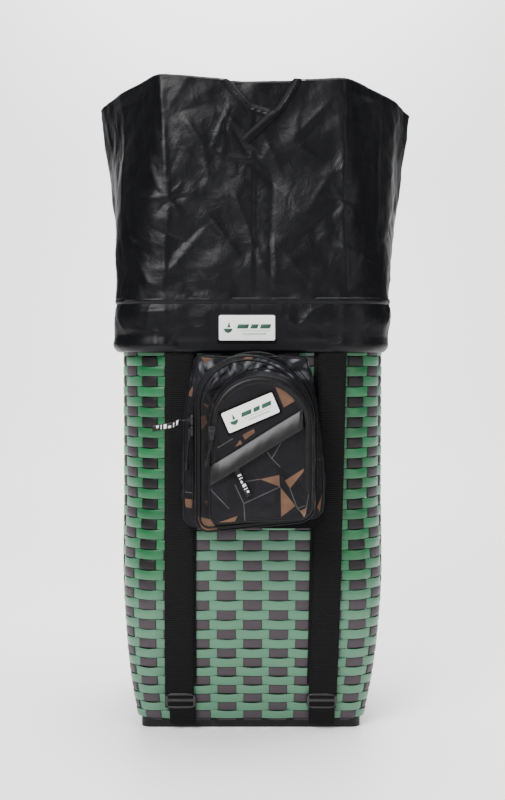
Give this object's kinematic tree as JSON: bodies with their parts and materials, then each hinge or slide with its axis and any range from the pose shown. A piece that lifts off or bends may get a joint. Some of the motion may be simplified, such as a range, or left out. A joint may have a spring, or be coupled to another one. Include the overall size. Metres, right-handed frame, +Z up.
{
  "type": "rope storage bag",
  "caption": "Tall free-standing rope bag woven from green and dark plastic strip, with a black fabric collar, two webbing straps and a zipped accessory pouch.",
  "frame": {"origin": "centre of the underside of the base tray", "axes": "+Z up towards the open rim, -Y out of the front that carries the straps and pouch, +X to the viewer's right facing the front"},
  "size_m": [0.4316, 0.4072, 0.842],
  "materials": {
    "green_strip": "satin",
    "dark_strip": "satin",
    "base_plastic": "satin",
    "base_board": "matte",
    "rim_rod": "matte",
    "coated_nylon": "satin",
    "hem_tape": "matte",
    "black_felt": "matte",
    "white_patch": "matte",
    "webbing": "matte",
    "buckle_plastic": "satin",
    "pouch_lining": "matte",
    "patterned_fabric": "matte",
    "zip_coil": "satin",
    "flap_leather": "satin",
    "zip_metal": "satin",
    "pull_rubber": "matte"
  },
  "bodies": {
    "basket": {"base_tray": "base_plastic", "base_board": "base_board", "weft_strips": "green_strip", "warp_strips": "dark_strip", "rim_hoop": "rim_rod", "collar_band": "coated_nylon", "collar_sleeve": "coated_nylon", "band_patch_backing": "black_felt", "band_patch": "white_patch", "left_strap": "webbing", "left_strap_tail": "webbing", "left_strap_anchor": "webbing", "right_strap": "webbing", "right_strap_tail": "webbing", "right_strap_anchor": "webbing", "pouch_hangers": "webbing"},
    "collar_hem": {"collar_hem": "hem_tape"},
    "pouch": {"pouch_back_panel": "pouch_lining", "pouch_rear_shell": "patterned_fabric", "pouch_main_shell": "patterned_fabric", "pouch_front_shell": "patterned_fabric", "main_zip_coil": "zip_coil", "front_zip_coil": "zip_coil", "slant_zip_coil": "zip_coil", "slant_flap": "flap_leather", "pouch_patch_backing": "black_felt", "pouch_patch": "white_patch"},
    "left_strap_slider": {"left_strap_slider": "buckle_plastic"},
    "right_strap_slider": {"right_strap_slider": "buckle_plastic"},
    "main_upper_slider": {"main_upper_zip_slider": "zip_metal"},
    "main_upper_pull": {"main_upper_pull_tab": "zip_metal", "main_upper_pull_tape": "pull_rubber"},
    "main_lower_slider": {"main_lower_zip_slider": "zip_metal"},
    "main_lower_pull": {"main_lower_pull_tab": "zip_metal", "main_lower_pull_grip": "pull_rubber"},
    "front_slider": {"front_zip_slider": "zip_metal"},
    "front_pull": {"front_pull_tab": "zip_metal", "front_pull_grip": "pull_rubber"},
    "slant_slider": {"slant_zip_slider": "zip_metal"},
    "slant_pull": {"slant_pull_tab": "zip_metal", "slant_pull_tape": "pull_rubber"}
  },
  "joints": [
    {"name": "collar_fold_down", "type": "slide", "parent": "basket", "child": "collar_hem", "axis": [0, 0, 1], "range_m": [-0.22, 0], "deforming": ["collar_sleeve"]},
    {"name": "pouch_swing", "type": "hinge", "parent": "basket", "child": "pouch", "pos_m": [0, -0.15875, 0.484], "axis": [-1, 0, 0], "range_deg": [0, 45]},
    {"name": "left_slider_travel", "type": "hinge", "parent": "basket", "child": "left_strap_slider", "pos_m": [-0.093, 0.892, 0.23], "axis": [-1, 0, 0], "range_deg": [0, 9.5]},
    {"name": "right_slider_travel", "type": "hinge", "parent": "basket", "child": "right_strap_slider", "pos_m": [0.09536, 0.892, 0.22995], "axis": [-0.9997, 0, 0.0227], "range_deg": [0, 9.5]},
    {"name": "main_upper_zip", "type": "hinge", "parent": "pouch", "child": "main_upper_slider", "pos_m": [0.003, -0.1941, 0.416], "axis": [0, 1, 0], "range_deg": [0, 170]},
    {"name": "main_upper_pull_hinge", "type": "hinge", "parent": "main_upper_slider", "child": "main_upper_pull", "pos_m": [-0.07885, -0.1941, 0.409], "axis": [0, -1, 0], "range_deg": [-60, 50]},
    {"name": "main_lower_zip", "type": "slide", "parent": "pouch", "child": "main_lower_slider", "axis": [0, 0, 1], "range_m": [-0.088, 0]},
    {"name": "main_lower_pull_hinge", "type": "hinge", "parent": "main_lower_slider", "child": "main_lower_pull", "pos_m": [-0.07885, -0.1941, 0.395], "axis": [0, 1, 0], "range_deg": [0, 25]},
    {"name": "front_zip", "type": "hinge", "parent": "pouch", "child": "front_slider", "pos_m": [0.0105, -0.2359, 0.402], "axis": [0, 1, 0], "range_deg": [0, 165]},
    {"name": "front_pull_hinge", "type": "hinge", "parent": "front_slider", "child": "front_pull", "pos_m": [-0.0495, -0.24175, 0.398], "axis": [-1, 0, 0], "range_deg": [0, 80]},
    {"name": "slant_zip", "type": "slide", "parent": "pouch", "child": "slant_slider", "axis": [0.8508, 0, 0.5255], "range_m": [0, 0.085]},
    {"name": "slant_pull_hinge", "type": "hinge", "parent": "slant_slider", "child": "slant_pull", "pos_m": [-0.02176, -0.23915, 0.35625], "axis": [0, 1, 0], "range_deg": [-35, 35]}
  ]
}
